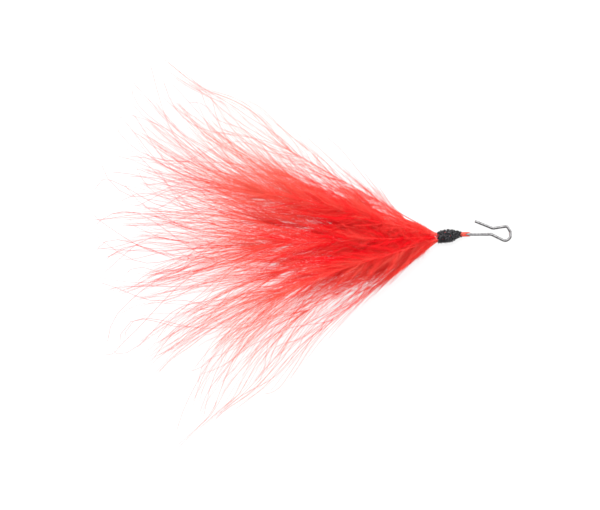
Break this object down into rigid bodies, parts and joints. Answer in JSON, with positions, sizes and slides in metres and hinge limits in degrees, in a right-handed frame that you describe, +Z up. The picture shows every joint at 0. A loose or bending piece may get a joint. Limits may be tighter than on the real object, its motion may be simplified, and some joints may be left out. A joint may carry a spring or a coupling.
{
  "type": "feather lure tail",
  "caption": "Red marabou feather tail bound with black thread to a spring-wire snap clip, for dressing a treble hook or a lure's rear ring.",
  "frame": {"origin": "centre of the footprint on the surface that the tail lies on", "axes": "+X along the clip's shank towards its loop, +Y across the feather fan towards the clip's free arm, +Z up from the surface"},
  "size_m": [0.1187, 0.1028, 0.0226],
  "materials": {
    "spring_wire": "drawn spring steel, satin",
    "binding_thread": "black cotton-like thread, slightly fuzzy",
    "quill": "dyed keratin stem, semi-matte",
    "marabou": "dyed marabou barbs with soft fluff"
  },
  "bodies": {
    "tail": {"clip_shank": "spring_wire", "thread_underwrap": "binding_thread", "thread_wrap": "binding_thread", "finish_knot": "binding_thread", "feather_01_quill": "quill", "feather_01_barbs": "marabou", "feather_02_quill": "quill", "feather_02_barbs": "marabou", "feather_03_quill": "quill", "feather_03_barbs": "marabou", "feather_04_quill": "quill", "feather_04_barbs": "marabou", "feather_05_quill": "quill", "feather_05_barbs": "marabou", "feather_06_quill": "quill", "feather_06_barbs": "marabou", "feather_07_quill": "quill", "feather_07_barbs": "marabou", "feather_08_quill": "quill", "feather_08_barbs": "marabou", "feather_09_quill": "quill", "feather_09_barbs": "marabou", "feather_10_quill": "quill", "feather_10_barbs": "marabou", "feather_11_quill": "quill", "feather_11_barbs": "marabou", "feather_12_quill": "quill", "feather_12_barbs": "marabou"},
    "arm": {"clip_arm": "spring_wire"}
  },
  "joints": [
    {"name": "clip_arm_flex", "type": "hinge", "parent": "tail", "child": "arm", "pos_m": [0.05905, 0.00374, 0.0018], "axis": [0, 0, -1], "range_deg": [-3, 12], "stiffness_Nm_per_rad": 0.5}
  ]
}
